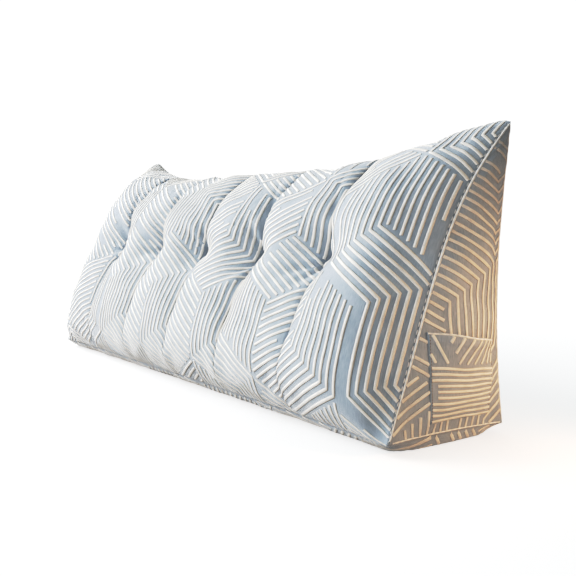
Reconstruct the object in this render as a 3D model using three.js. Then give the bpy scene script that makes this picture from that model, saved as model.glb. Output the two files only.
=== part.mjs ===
// A wedge-shaped backrest pillow: a filled body of five sewn panels, drawn in by one
// row of tufts, with a patch pocket on its right end panel. Millimetres, +Z up.
// X runs along the pillow, the front panel faces -Y and the pillow rests on z = 0.
import * as THREE from "three";
import { mergeVertices } from "three/addons/utils/BufferGeometryUtils.js";

// Middle of the pillow to the corners of an end panel
const HALF_LENGTH = 611;

// The three long seams: where each lies at mid-length and at its ends, and the powers
// with which it turns from the one to the other, in depth and in height
const FRONT_BASE_SEAM = { y: -123, z: 20, endY: -126, endZ: 17, turnY: 4, turnZ: 6 };
const BACK_BASE_SEAM = { y: 122, z: 20, endY: 126, endZ: 15, turnY: 4, turnZ: 6 };
const RIDGE_SEAM = { y: 96, z: 427, endY: 129, endZ: 505, turnY: 3, turnZ: 4 };

// The ridge's ends stand up as ears
const EAR_TIP = { length: 31, drop: 12 }; // blunt at the very end
const LEFT_EAR_LEAN = 8; // the left ear leans further back

// The filling draws each end seam in, most at this share of its height
const END_SEAM = { pull: 12, fullest: 0.42 };

// Crowns: how far a panel stands out from the plane between its two long seams. Reach is
// the distance from an end seam to the full crown, swell and round are the powers of the
// curves along the panel and up it, where a higher power is boxier.
const FRONT = { crown: 96, reach: 166, swell: 2.6, roundLow: 3.2, roundHigh: 2.6 };
const FRONT_AT_END_SEAM = { crown: 31, late: 1.7 };
const BACK = { crown: 38, reach: 190, swell: 2.4, round: 0.6 };
const BACK_AT_END_SEAM = { dip: 9 };
const BASE = { belly: 45, reach: 40, swell: 2.5, round: 0.8, spill: 6 };
const BASE_AT_END_SEAM = { arch: 4, round: 0.7, fade: 6 };
const END = { crown: 20, upRound: 0.8, acrossRound: 0.7 };

// Height of the filling in each billow, from the left end to the right end
const BILLOW_FILL = [1.02, 0.98, 1.01, 1.0, 0.98, 1.0];
// Each billow is fullest above the tufts
const HEAD = { height: 0.7, halfHeight: 0.24, crown: 10 };

// Tufts: a row of stitches pulled through the filling, each in a dimple of its own
const TUFT_SPACING = 194;
const DIMPLE = { depth: 15, halfWidth: 80, halfHeight: 60 };
const TUFTS = [
  { place: -2, height: 0.532, depth: 1.0 },
  { place: -1, height: 0.537, depth: 1.05 },
  { place: 0, height: 0.53, depth: 0.97 },
  { place: 1, height: 0.537, depth: 1.04 },
  { place: 2, height: 0.53, depth: 1.0 },
];
// The crease that each tuft leaves up and down the front panel. The cloth folds over to
// its left, so the billow to its right stands steeper: left and right say how sharply
// each side turns into the crease.
const CREASE = [
  { height: 0, depth: 0, left: 2, right: 2 },
  { height: 0.12, depth: 9, left: 2, right: 2 },
  { height: 0.3, depth: 20, left: 1.8, right: 2.2 },
  { height: 0.43, depth: 27, left: 1.5, right: 2.4 },
  { height: 0.5, depth: 33, left: 1.3, right: 2.6 },
  { height: 0.55, depth: 39, left: 1.3, right: 3.4 },
  { height: 0.62, depth: 46, left: 1.5, right: 5 },
  { height: 0.72, depth: 46, left: 2.1, right: 7 },
  { height: 0.83, depth: 32, left: 3.2, right: 7 },
  { height: 0.93, depth: 14, left: 4.5, right: 6 },
  { height: 1, depth: 0, left: 5, right: 6 },
];

// Patch pocket on the right end panel: side seams in depth, heights as shares of the end
// panel's height, and the turned hem from a share of the pocket's own height
const POCKET = { front: -47, back: 90, bottom: 0.042, mouthFront: 0.312, mouthBack: 0.284 };
const POCKET_CLOTH = { thick: 1.8, hem: 0.88, hemThick: 3, hemStep: 0.02 };
const POCKET_MOUTH = { gap: 0.4, open: 14, acrossRound: 0.7, upRound: 1.3 };

// Where the surfaces are sampled: distances from a crease, distances from an outer tuft
// to the end seam, and shares of a panel's height, close together at the tufts
const CREASE_STEPS = [0, 4, 10, 19, 32, 48, 70];
const END_STEPS = [97, 125, 152, 176, 196, 211, 219];
const HEIGHTS = [
  0, 0.02, 0.05, 0.09, 0.15, 0.22, 0.3, 0.38, 0.45, 0.5, 0.535, 0.57, 0.62, 0.69,
  0.77, 0.85, 0.91, 0.95, 0.98, 1,
];
const END_STEPS_ACROSS = 10;
const POCKET_STEPS = 14;
const MERGE_WITHIN = 1e-3;

const CLOTH_LOOK = { color: 0xb9c9d6, roughness: 0.95, metalness: 0 };
const POCKET_LOOK = { color: 0xb7b0a6, roughness: 0.95, metalness: 0 };

const { clamp, lerp } = THREE.MathUtils;
const unit = (value) => clamp(value, 0, 1);
const rise = (value, power) => 1 - (1 - unit(value)) ** power;
const arc = (share) => 4 * share * (1 - share);
const wave = (share) => Math.abs(Math.sin(Math.PI * share));
const mound = (distance) => (1 - Math.min(distance * distance, 1)) ** 2;

// Smooth curve through one column of a table, against its column "height"
function column(table, name, height) {
  const last = table.length - 1;
  const slope = (i) => {
    const a = table[Math.max(i - 1, 0)];
    const b = table[Math.min(i + 1, last)];
    return (b[name] - a[name]) / (b.height - a.height);
  };
  let i = 0;
  while (i < last - 1 && height > table[i + 1].height) i += 1;
  const a = table[i];
  const b = table[i + 1];
  const span = b.height - a.height;
  const k = unit((height - a.height) / span);
  const turned = k * k * (3 - 2 * k);
  const leaving = k * (1 - k) * (1 - k);
  const arriving = k * k * (k - 1);
  return lerp(a[name], b[name], turned) + span * (slope(i) * leaving + slope(i + 1) * arriving);
}

const fromEndSeam = (x) => HALF_LENGTH - Math.abs(x);

// A long seam's depth and height at a distance x from mid-length
function seamAt(seam, x) {
  const outward = unit(Math.abs(x) / HALF_LENGTH);
  return {
    y: lerp(seam.y, seam.endY, outward ** seam.turnY),
    z: lerp(seam.z, seam.endZ, outward ** seam.turnZ),
  };
}

function ridgeAt(x) {
  const leaning = x < 0 ? LEFT_EAR_LEAN : 0;
  const ridge = seamAt({ ...RIDGE_SEAM, endY: RIDGE_SEAM.endY + leaning }, x);
  const blunt = 1 - unit(fromEndSeam(x) / EAR_TIP.length);
  return { y: ridge.y, z: ridge.z - EAR_TIP.drop * blunt * blunt };
}

// An end seam is drawn in between its corners, and only the cloth beyond the outer tuft
// moves with it
const LAST_TUFT = 2 * TUFT_SPACING;
const lateness = Math.log(0.5) / Math.log(END_SEAM.fullest);
const endSeamX = (height) => HALF_LENGTH - END_SEAM.pull * wave(height ** lateness);

function drawnIn(x, height) {
  const past = Math.abs(x) - LAST_TUFT;
  if (past <= 0) return x;
  const share = past / (HALF_LENGTH - LAST_TUFT);
  return Math.sign(x) * lerp(LAST_TUFT, endSeamX(height), share);
}

// A point of a panel that is stretched between two seams and stands out by a bulge
function crowned(x, low, high, share, bulge) {
  const span = new THREE.Vector2(high.y - low.y, high.z - low.z);
  const out = new THREE.Vector2(-span.y, span.x).normalize();
  const y = lerp(low.y, high.y, share) + out.x * bulge;
  const z = lerp(low.z, high.z, share) + out.y * bulge;
  return new THREE.Vector3(x, y, z);
}

function billowFill(x) {
  const last = BILLOW_FILL.length - 1;
  const place = unit(0.5 + x / TUFT_SPACING / last) * last;
  const i = Math.min(Math.floor(place), last - 1);
  return lerp(BILLOW_FILL[i], BILLOW_FILL[i + 1], place - i);
}

// How far the tufts and their creases draw the front panel in
function tuftDepth(x, height) {
  const depth = column(CREASE, "depth", height);
  const left = column(CREASE, "left", height);
  const right = column(CREASE, "right", height);
  let sum = 0;
  for (const tuft of TUFTS) {
    const side = x - tuft.place * TUFT_SPACING;
    const away = unit(Math.abs(side) / (TUFT_SPACING / 2));
    const near = (1 - away) ** (side < 0 ? left : right);
    sum += depth * tuft.depth * (1 - Math.sqrt(1 - near));
    const up = (height - tuft.height) * (RIDGE_SEAM.z / DIMPLE.halfHeight);
    const across = side / DIMPLE.halfWidth;
    sum += DIMPLE.depth * mound(Math.hypot(up, across));
  }
  return sum;
}

// Front panel: height runs from its base seam to the ridge
function frontPanel(x, height) {
  const round = height < 0.5 ? FRONT.roundLow : FRONT.roundHigh;
  const profile = Math.sqrt(1 - Math.abs(2 * height - 1) ** round);
  const head = HEAD.crown * mound((height - HEAD.height) / HEAD.halfHeight);
  const full = FRONT.crown * billowFill(x) * profile + head;
  const edge = FRONT_AT_END_SEAM.crown * wave(height ** FRONT_AT_END_SEAM.late);
  const inward = rise(fromEndSeam(x) / FRONT.reach, FRONT.swell);
  const bulge = lerp(edge, full, inward) - tuftDepth(x, height);
  const placed = drawnIn(x, height);
  return crowned(placed, seamAt(FRONT_BASE_SEAM, x), ridgeAt(x), height, bulge);
}

// Back panel: height runs from its base seam to the ridge too
function backPanel(x, height) {
  const full = BACK.crown * arc(height) ** BACK.round;
  const edge = -BACK_AT_END_SEAM.dip * wave(height);
  const inward = rise(fromEndSeam(x) / BACK.reach, BACK.swell);
  const placed = drawnIn(x, height);
  const bulge = -lerp(edge, full, inward);
  return crowned(placed, seamAt(BACK_BASE_SEAM, x), ridgeAt(x), height, bulge);
}

// Base panel: across runs from the front seam to the back seam. Its belly is pressed
// flat where the pillow rests, and spills a little past the end seams.
function basePanel(x, across) {
  const middle = arc(across);
  const front = seamAt(FRONT_BASE_SEAM, x);
  const back = seamAt(BACK_BASE_SEAM, x);
  const inward = unit(fromEndSeam(x) / BASE.reach);
  const spill = BASE.spill * middle * wave(inward);
  const arch = BASE_AT_END_SEAM.arch * middle ** BASE_AT_END_SEAM.round;
  const belly = BASE.belly * rise(inward, BASE.swell) * middle ** BASE.round;
  const z = Math.max(lerp(front.z, back.z, across) + arch - belly, 0);
  return new THREE.Vector3(x + Math.sign(x) * spill, lerp(front.y, back.y, across), z);
}

// End panel on one side: across runs from its front seam to its back seam
function endPanel(side, height, across) {
  const x = side * HALF_LENGTH;
  const between = (h) => frontPanel(x, h).lerp(backPanel(x, h), across);
  const arch = basePanel(x, across).sub(between(0));
  const point = between(height).addScaledVector(arch, (1 - height) ** BASE_AT_END_SEAM.fade);
  const upright = wave(height ** lateness) ** END.upRound;
  point.x += side * END.crown * upright * arc(across) ** END.acrossRound;
  return point;
}

// Adds a grid of points as triangles
function addGrid(corners, rows, flipped) {
  for (let i = 0; i + 1 < rows.length; i += 1) {
    for (let j = 0; j + 1 < rows[i].length; j += 1) {
      const a = rows[i][j];
      const b = rows[i + 1][j];
      const c = rows[i + 1][j + 1];
      const d = rows[i][j + 1];
      corners.push(...(flipped ? [a, b, c, a, c, d] : [a, c, b, a, d, c]));
    }
  }
}

// Closes a list of triangles into one mesh: seam points that meet are merged, and
// triangles that shrink to a line at the tips of the end panels are dropped
function closedGeometry(corners) {
  const loose = new THREE.BufferGeometry().setFromPoints(corners);
  const merged = mergeVertices(loose, MERGE_WITHIN);
  const source = merged.index.array;
  const kept = [];
  for (let i = 0; i < source.length; i += 3) {
    const [a, b, c] = source.slice(i, i + 3);
    if (a !== b && b !== c && c !== a) kept.push(a, b, c);
  }
  merged.setIndex(kept);
  merged.computeVertexNormals();
  return merged;
}

const grid = (outer, inner, point) => outer.map((a) => inner.map((b) => point(a, b)));
const evenSteps = (count) => Array.from({ length: count + 1 }, (_, i) => i / count);

// Stations along the pillow: close together at the creases and at the end seams
function stations() {
  const places = new Set([-HALF_LENGTH, HALF_LENGTH]);
  for (const { place } of TUFTS) {
    const crease = place * TUFT_SPACING;
    for (const step of CREASE_STEPS) {
      places.add(crease - step);
      places.add(crease + step);
    }
    if (crease < LAST_TUFT) places.add(crease + TUFT_SPACING / 2);
  }
  for (const step of END_STEPS) {
    places.add(LAST_TUFT + step);
    places.add(-LAST_TUFT - step);
  }
  return [...places].sort((a, b) => a - b);
}

function cushionGeometry() {
  const along = stations();
  const across = evenSteps(END_STEPS_ACROSS).map((share) => (1 - Math.cos(Math.PI * share)) / 2);
  const end = (side) => grid(HEIGHTS, across, (height, over) => endPanel(side, height, over));
  const corners = [];
  addGrid(corners, grid(along, HEIGHTS, frontPanel), true);
  addGrid(corners, grid(along, HEIGHTS, backPanel), false);
  addGrid(corners, grid(along, across, basePanel), false);
  addGrid(corners, end(1), false);
  addGrid(corners, end(-1), true);
  return closedGeometry(corners);
}

// The pocket's cloth, at a share up from its bottom seam and a share over from its front
// side seam, standing off the end panel by the given distance
function pocketPoint(up, over, distance) {
  const mouth = lerp(POCKET.mouthFront, POCKET.mouthBack, over);
  const height = lerp(POCKET.bottom, mouth, up);
  const front = endPanel(1, height, 0).y;
  const back = endPanel(1, height, 1).y;
  const across = (lerp(POCKET.front, POCKET.back, over) - front) / (back - front);
  const nearby = 0.01;
  const here = endPanel(1, height, across);
  const upward = endPanel(1, height + nearby, across).sub(here);
  const backward = endPanel(1, height, across + nearby).sub(here);
  return here.addScaledVector(backward.cross(upward).normalize(), distance);
}

// Sewn down along its sides and bottom, and standing open at its mouth
function pocketGeometry() {
  const overs = evenSteps(POCKET_STEPS);
  const { hem, hemStep } = POCKET_CLOTH;
  const ups = [...overs.filter((share) => share < hem), hem, hem + hemStep, 1];
  const lift = (up, over) =>
    POCKET_MOUTH.gap +
    POCKET_MOUTH.open * wave(over) ** POCKET_MOUTH.acrossRound * up ** POCKET_MOUTH.upRound;
  const inside = (up, over) => pocketPoint(up, over, lift(up, over));
  const outside = (up, over) => {
    const thick = up > hem ? POCKET_CLOTH.hemThick : POCKET_CLOTH.thick;
    return pocketPoint(up, over, lift(up, over) + thick);
  };
  const rim = (alongUp, alongOver) =>
    alongUp.flatMap((up) => alongOver.map((over) => [inside(up, over), outside(up, over)]));
  const corners = [];
  addGrid(corners, grid(ups, overs, outside), false);
  addGrid(corners, grid(ups, overs, inside), true);
  addGrid(corners, rim([0], overs), true);
  addGrid(corners, rim([1], overs), false);
  addGrid(corners, rim(ups, [0]), false);
  addGrid(corners, rim(ups, [1]), true);
  return closedGeometry(corners);
}

const pillow = new THREE.Group();

const cushion = new THREE.Mesh(cushionGeometry(), new THREE.MeshStandardMaterial(CLOTH_LOOK));
cushion.name = "cushion";
pillow.add(cushion);

const pocket = new THREE.Mesh(pocketGeometry(), new THREE.MeshStandardMaterial(POCKET_LOOK));
pocket.name = "pocket";
pillow.add(pocket);

// The origin lies under the middle of the whole pillow
const bounds = new THREE.Box3().setFromObject(pillow);
const middle = bounds.getCenter(new THREE.Vector3());
pillow.position.set(-middle.x, -middle.y, -bounds.min.z);

export default pillow;
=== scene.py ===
import math

import bpy
import numpy as np
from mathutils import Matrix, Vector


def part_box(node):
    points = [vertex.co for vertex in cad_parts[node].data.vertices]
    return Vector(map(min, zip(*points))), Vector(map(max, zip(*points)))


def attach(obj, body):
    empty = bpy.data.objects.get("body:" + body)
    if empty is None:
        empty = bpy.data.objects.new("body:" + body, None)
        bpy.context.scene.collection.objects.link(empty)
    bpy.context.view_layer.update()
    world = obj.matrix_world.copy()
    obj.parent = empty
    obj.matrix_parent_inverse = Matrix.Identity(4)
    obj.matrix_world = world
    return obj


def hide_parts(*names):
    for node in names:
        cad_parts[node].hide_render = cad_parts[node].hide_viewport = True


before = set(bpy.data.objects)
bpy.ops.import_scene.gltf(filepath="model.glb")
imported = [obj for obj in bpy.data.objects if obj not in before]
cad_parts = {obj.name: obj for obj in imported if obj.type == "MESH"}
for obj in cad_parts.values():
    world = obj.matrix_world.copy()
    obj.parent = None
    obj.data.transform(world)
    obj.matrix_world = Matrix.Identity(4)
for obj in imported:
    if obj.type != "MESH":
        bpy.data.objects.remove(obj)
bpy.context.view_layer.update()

# Cushion
# Five panels of heavy woven cloth sewn into one long wedge and filled with fibre. One row
# of stitched tufts draws the sloping front panel in, so it stands out in six billows.
HALF_LENGTH = 0.611


def unit(value):
    return np.clip(value, 0, 1)


def blend(a, b, share):
    return a + (b - a) * share


def swell(value, power):
    return 1 - (1 - unit(value)) ** power


def arc(share):
    return np.maximum(4 * share * (1 - share), 0)


def wave(share):
    return np.abs(np.sin(math.pi * share))


def mound(distance):
    return (1 - np.minimum(distance * distance, 1)) ** 2


# The long seams: depth and height at mid-length and at the ends, and how late each turns
FRONT_SEAM = {"y": -0.123, "z": 0.020, "end_y": -0.126, "end_z": 0.017, "turn_y": 4, "turn_z": 6}
BACK_SEAM = {"y": 0.122, "z": 0.020, "end_y": 0.126, "end_z": 0.015, "turn_y": 4, "turn_z": 6}
RIDGE_SEAM = {"y": 0.096, "z": 0.427, "end_y": 0.129, "end_z": 0.505, "turn_y": 3, "turn_z": 4}
EAR_TIP = np.array([HALF_LENGTH, RIDGE_SEAM["end_y"], RIDGE_SEAM["end_z"]])
EAR_TIP_LENGTH = 0.031
EAR_TIP_DROP = 0.012
LEFT_EAR_LEAN = 0.008


def seam_at(seam, x, lean=0.0):
    """Depth and height of a long seam at a distance x from mid-length."""
    outward = unit(np.abs(x) / HALF_LENGTH)
    y = blend(seam["y"], seam["end_y"] + lean, outward ** seam["turn_y"])
    return y, blend(seam["z"], seam["end_z"], outward ** seam["turn_z"])


def ridge_at(x):
    """The top seam, which rises to the blunt tips of the two ears."""
    y, z = seam_at(RIDGE_SEAM, x, np.where(x < 0, LEFT_EAR_LEAN, 0))
    blunt = 1 - unit((HALF_LENGTH - np.abs(x)) / EAR_TIP_LENGTH)
    return y, z - EAR_TIP_DROP * blunt * blunt


def crowned(x, low, high, share, bulge):
    """A point of a panel stretched between two seams, standing out by a bulge."""
    across_y, across_z = high[0] - low[0], high[1] - low[1]
    span = np.hypot(across_y, across_z)
    y = blend(low[0], high[0], share) - across_z / span * bulge
    z = blend(low[1], high[1], share) + across_y / span * bulge
    return np.stack(np.broadcast_arrays(x, y, z), axis=-1)


# The tufts: how far up the panel each one lies, and how deep it is drawn in
TUFT_SPACING = 0.194
TUFT_HEIGHTS = [0.532, 0.537, 0.53, 0.537, 0.53]
TUFT_DEPTHS = [1.0, 1.05, 0.97, 1.04, 1.0]
TUFT_PLACES = (np.arange(len(TUFT_HEIGHTS)) - 2) * TUFT_SPACING
DIMPLE_DEPTH = 0.015
DIMPLE_HALF_WIDTH = 0.080
DIMPLE_HALF_HEIGHT = 0.060
# How deep each tuft's crease runs at each share of the panel's height, and how sharply
# the cloth turns into it from either side
CREASE = np.array([
    (0.00, 0.000, 2.0, 2.0),
    (0.12, 0.009, 2.0, 2.0),
    (0.30, 0.020, 1.8, 2.2),
    (0.43, 0.027, 1.5, 2.4),
    (0.50, 0.033, 1.3, 2.6),
    (0.55, 0.039, 1.3, 3.4),
    (0.62, 0.046, 1.5, 5.0),
    (0.72, 0.046, 2.1, 7.0),
    (0.83, 0.032, 3.2, 7.0),
    (0.93, 0.014, 4.5, 6.0),
    (1.00, 0.000, 5.0, 6.0),
], dtype=[("height", float), ("depth", float), ("left", float), ("right", float)])


def curve_through(at, value, wanted):
    """Smooth curve through values, or rows of values, read at the wanted places."""
    gap = np.diff(at).reshape((-1,) + (1,) * (value.ndim - 1))
    rise = np.diff(value, axis=0)
    middle = (rise[1:] + rise[:-1]) / (gap[1:] + gap[:-1])
    slope = np.concatenate([rise[:1] / gap[:1], middle, rise[-1:] / gap[-1:]])
    i = np.clip(np.searchsorted(at, wanted) - 1, 0, len(at) - 2)
    span = (at[i + 1] - at[i]).reshape(np.shape(wanted) + (1,) * (value.ndim - 1))
    k = unit((wanted - at[i]).reshape(span.shape) / span)
    leaving = k * (1 - k) ** 2
    arriving = k * k * (k - 1)
    curved = blend(value[i], value[i + 1], k * k * (3 - 2 * k))
    return curved + span * (slope[i] * leaving + slope[i + 1] * arriving)


def tuft_depth(x, height):
    """How far the tufts and their creases draw the front panel in."""
    depth, left, right = [
        curve_through(CREASE["height"], CREASE[part], height) for part in ("depth", "left", "right")
    ]
    total = 0.0
    for place, tuft_height, strength in zip(TUFT_PLACES, TUFT_HEIGHTS, TUFT_DEPTHS):
        side = x - place
        away = unit(np.abs(side) / (TUFT_SPACING / 2))
        near = (1 - away) ** np.where(side < 0, left, right)
        total = total + depth * strength * (1 - np.sqrt(1 - near))
        up = (height - tuft_height) * RIDGE_SEAM["z"] / DIMPLE_HALF_HEIGHT
        total = total + DIMPLE_DEPTH * mound(np.hypot(up, side / DIMPLE_HALF_WIDTH))
    return total


# The end seams are pulled in between their corners, most where the filling is fullest
END_SEAM_PULL = 0.012
END_SEAM_FULLEST = 0.42


def end_wave(height):
    return wave(height ** (math.log(0.5) / math.log(END_SEAM_FULLEST)))


def drawn_in(x, height):
    past = np.maximum(np.abs(x) - TUFT_PLACES[-1], 0) / (HALF_LENGTH - TUFT_PLACES[-1])
    return x - np.sign(x) * past * END_SEAM_PULL * end_wave(height)


FRONT_CROWN = 0.096
FRONT_REACH = 0.166
FRONT_SWELL = 2.6
FRONT_ROUND_LOW = 3.2
FRONT_ROUND_HIGH = 2.6
FRONT_EDGE_CROWN = 0.031
FRONT_EDGE_LATE = 1.7
BILLOW_FILL = [1.02, 0.98, 1.01, 1.0, 0.98, 1.0]
HEAD_HEIGHT = 0.7
HEAD_HALF = 0.24
HEAD_CROWN = 0.010


def front_panel(x, height):
    """Six billows between the end seams and the creases, fullest at a head's height."""
    middles = (np.arange(len(BILLOW_FILL)) - (len(BILLOW_FILL) - 1) / 2) * TUFT_SPACING
    round_power = np.where(height < 0.5, FRONT_ROUND_LOW, FRONT_ROUND_HIGH)
    profile = np.sqrt(np.maximum(1 - np.abs(2 * height - 1) ** round_power, 0))
    full = FRONT_CROWN * np.interp(x, middles, BILLOW_FILL) * profile
    full = full + HEAD_CROWN * mound((height - HEAD_HEIGHT) / HEAD_HALF)
    edge = FRONT_EDGE_CROWN * wave(height ** FRONT_EDGE_LATE)
    inward = swell((HALF_LENGTH - np.abs(x)) / FRONT_REACH, FRONT_SWELL)
    bulge = blend(edge, full, inward) - tuft_depth(x, height)
    return crowned(drawn_in(x, height), seam_at(FRONT_SEAM, x), ridge_at(x), height, bulge)


BACK_CROWN = 0.038
BACK_REACH = 0.190
BACK_SWELL = 2.4
BACK_ROUND = 0.6
BACK_EDGE_DIP = 0.009


def back_panel(x, height):
    """Nearly upright, where the pillow stands against the headboard."""
    full = BACK_CROWN * arc(height) ** BACK_ROUND
    inward = swell((HALF_LENGTH - np.abs(x)) / BACK_REACH, BACK_SWELL)
    bulge = -blend(-BACK_EDGE_DIP * wave(height), full, inward)
    return crowned(drawn_in(x, height), seam_at(BACK_SEAM, x), ridge_at(x), height, bulge)


BASE_BELLY = 0.045
BASE_REACH = 0.040
BASE_SWELL = 2.5
BASE_ROUND = 0.8
BASE_SPILL = 0.006
BASE_ARCH = 0.004
BASE_ARCH_ROUND = 0.7


def base_panel(x, across):
    """Pressed flat where the pillow rests, and spilling a little past the end seams."""
    middle = arc(across)
    front, back = seam_at(FRONT_SEAM, x), seam_at(BACK_SEAM, x)
    inward = unit((HALF_LENGTH - np.abs(x)) / BASE_REACH)
    spill = BASE_SPILL * middle * wave(inward)
    arch = BASE_ARCH * middle ** BASE_ARCH_ROUND
    belly = BASE_BELLY * swell(inward, BASE_SWELL) * middle ** BASE_ROUND
    z = np.maximum(blend(front[1], back[1], across) + arch - belly, 0)
    y = blend(front[0], back[0], across)
    return np.stack(np.broadcast_arrays(x + np.sign(x) * spill, y, z), axis=-1)


END_CROWN = 0.020
END_UP_ROUND = 0.8
END_ACROSS_ROUND = 0.7
END_ARCH_FADE = 6


def end_panel(side, height, across):
    """A triangle between the ends of the front, the back and the base."""
    x = side * HALF_LENGTH
    share = np.broadcast_arrays(height, across)[1][..., None]

    def between(h):
        return blend(front_panel(x, h), back_panel(x, h), share)

    arch = base_panel(x, across) - between(np.zeros_like(height))
    point = between(height) + arch * ((1 - height) ** END_ARCH_FADE)[..., None]
    crown = END_CROWN * end_wave(height) ** END_UP_ROUND * arc(across) ** END_ACROSS_ROUND
    point[..., 0] += side * crown
    return point


def grids(along, heights, across):
    """The five panels as grids of points, from stations along, up and across them."""
    x, h = along[:, None], heights[None, :]
    k, up = across[None, :], heights[:, None]
    return {
        "base": base_panel(x, k),
        "back": back_panel(x, h),
        "right": end_panel(1, up + 0 * k, k + 0 * up),
        "left": end_panel(-1, up + 0 * k, k + 0 * up),
        "front": front_panel(x, h),
    }


def weld(along, up, across):
    """Point numbers for the five grids, so that panels share the points of their seams."""
    count = 0

    def fresh(rows, columns):
        nonlocal count
        numbers = count + np.arange(rows * columns).reshape(rows, columns)
        count += rows * columns
        return numbers

    front = fresh(along, up)
    back = np.hstack([fresh(along, up - 1), front[:, -1:]])
    base = np.hstack([front[:, :1], fresh(along, across - 2), back[:, :1]])
    ends = {}
    for name, i in (("left", 0), ("right", -1)):
        inner = np.vstack([base[i, 1:-1], fresh(up - 2, across - 2), np.full(across - 2, front[i, -1])])
        ends[name] = np.hstack([front[i, :, None], inner, back[i, :, None]])
    return {"base": base, "back": back, **ends, "front": front}, count


def quads_of(grid):
    """The four corners of each small square of a grid, in order round it."""
    return np.stack([grid[:-1, :-1], grid[1:, :-1], grid[1:, 1:], grid[:-1, 1:]], axis=2)


def borders(grid):
    """The first and last row and the first and last column of a grid."""
    return grid[:1], grid[-1:], grid[:, :1], grid[:, -1:]


def cut_mesh(name, points, faces, corners):
    """A mesh whose UV map is where each face's corners lie in the flat cuts, in metres."""
    mesh = bpy.data.meshes.new(name)
    mesh.from_pydata(points.tolist(), [], faces)
    mesh.uv_layers.new(name="flat_cut").uv.foreach_set("vector", np.array(corners).ravel())
    mesh.shade_smooth()
    return mesh


def cloth_mesh(name, panels, flats):
    """One closed mesh of the five panels. Returns it with the panels' point numbers."""
    numbers, count = weld(*panels["front"].shape[:2], panels["base"].shape[1])
    faces, corners = [], []
    for panel, flat in flats.items():
        quads, cuts = quads_of(numbers[panel]).reshape(-1, 4), quads_of(flat).reshape(-1, 4, 2)
        if panel not in ("front", "left"):
            quads, cuts = quads[:, ::-1], cuts[:, ::-1]
        for quad, cut in zip(quads.tolist(), cuts.tolist()):
            kept = [i for i in range(4) if quad[i] != quad[i - 1]]
            if len(kept) > 2:
                faces.append([quad[i] for i in kept])
                corners.extend(cut[i] for i in kept)
    points = np.zeros((count, 3))
    for panel, grid in panels.items():
        points[numbers[panel].ravel()] = grid.reshape(-1, 3)
    return cut_mesh(name, points, faces, corners), numbers


def new_object(name, data):
    made = bpy.data.objects.new(name, data)
    bpy.context.scene.collection.objects.link(made)
    return made


# The cloth is cut a little larger than the filling that presses it out, and it is held at
# its seams and tufts. Simulated on an even net, it wrinkles between them. The wrinkles are
# kept, but little of the broad swell, so that the outline stays.
NET_ALONG = 126
NET_UP = 50
NET_ACROSS = 26
NET_SPARE_CLOTH = -0.025
NET_PRESSURE = 4.0
NET_FRAMES = 20
RESTING_HEIGHT = 0.001
SWELL_KEPT = 0.12
SWELL_PASSES = 30
WRINKLE_PASSES = 2
MOST_MOVED = 0.006
STIFF_EAR = 0.15


def rows_by_length(shares):
    """Heights that lie at even shares of the front panel's length, up a billow's middle."""
    heights = np.linspace(0, 1, 400)
    line = front_panel(np.full_like(heights, TUFT_SPACING / 2), heights)
    length = np.concatenate([[0], np.cumsum(np.linalg.norm(np.diff(line, axis=0), axis=1))])
    return np.interp(shares * length[-1], length, heights)


def evened(field, passes):
    """A field of moves spread out over its neighbours, and still nothing at the seams."""
    for _ in range(passes):
        field = field.copy()
        field[1:-1] = (field[:-2] + 2 * field[1:-1] + field[2:]) / 4
        field[:, 1:-1] = (field[:, :-2] + 2 * field[:, 1:-1] + field[:, 2:]) / 4
    return field


def settled(panels, tuft_rows):
    """How far each point of the even net moves when the filling presses the cloth out."""
    no_cut = {name: np.zeros((*panel.shape[:2], 2)) for name, panel in panels.items()}
    mesh, numbers = cloth_mesh("net", panels, no_cut)
    net = new_object("net", mesh)
    resting = numbers["base"][panels["base"][..., 2] < RESTING_HEIGHT]
    held = [resting, [numbers["front"][row] for row in tuft_rows]]
    held += [edge.ravel() for ids in numbers.values() for edge in borders(ids)]
    group = net.vertex_groups.new(name="held")
    group.add(np.unique(np.concatenate(held)).tolist(), 1.0, "REPLACE")
    cloth = net.modifiers.new("settle", "CLOTH")
    cloth.settings.quality = 5
    cloth.settings.vertex_group_mass = "held"
    cloth.settings.use_pressure = True
    cloth.settings.uniform_pressure_force = NET_PRESSURE
    cloth.settings.shrink_min = NET_SPARE_CLOTH
    cloth.settings.effector_weights.gravity = 0
    scene = bpy.context.scene
    for step in range(1, NET_FRAMES + 1):
        scene.frame_set(step)
    shown = net.evaluated_get(bpy.context.evaluated_depsgraph_get()).data
    after = np.zeros(len(shown.vertices) * 3)
    shown.vertices.foreach_get("co", after)
    scene.frame_set(1)
    bpy.data.objects.remove(net)
    moves = {}
    for name, ids in numbers.items():
        move = after.reshape(-1, 3)[ids] - panels[name]
        move = evened(move - (1 - SWELL_KEPT) * evened(move, SWELL_PASSES), WRINKLE_PASSES)
        size = np.linalg.norm(move, axis=-1, keepdims=True)
        from_ear = np.linalg.norm(np.abs(panels[name]) - EAR_TIP, axis=-1, keepdims=True)
        limit = np.minimum(1, MOST_MOVED / np.maximum(size, 1e-9))
        moves[name] = move * limit * unit(from_ear / STIFF_EAR)
    return moves


net_along = np.linspace(-HALF_LENGTH, HALF_LENGTH, NET_ALONG + 1)
net_heights = rows_by_length(np.linspace(0, 1, NET_UP + 1))
net_across = np.linspace(0, 1, NET_ACROSS + 1)
nearest_tufts = [
    (np.abs(net_along - place).argmin(), np.abs(net_heights - height).argmin())
    for place, height in zip(TUFT_PLACES, TUFT_HEIGHTS)
]
moves = settled(grids(net_along, net_heights, net_across), nearest_tufts)

# Stations of the finished cloth: close together at the creases and at the seams
CREASE_STEPS = 24
CREASE_CLOSENESS = 1.4
END_STEPS = 22
UP_STEPS = 108
ACROSS_STEPS = 46
SEAM_CLOSENESS = 0.6


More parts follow.
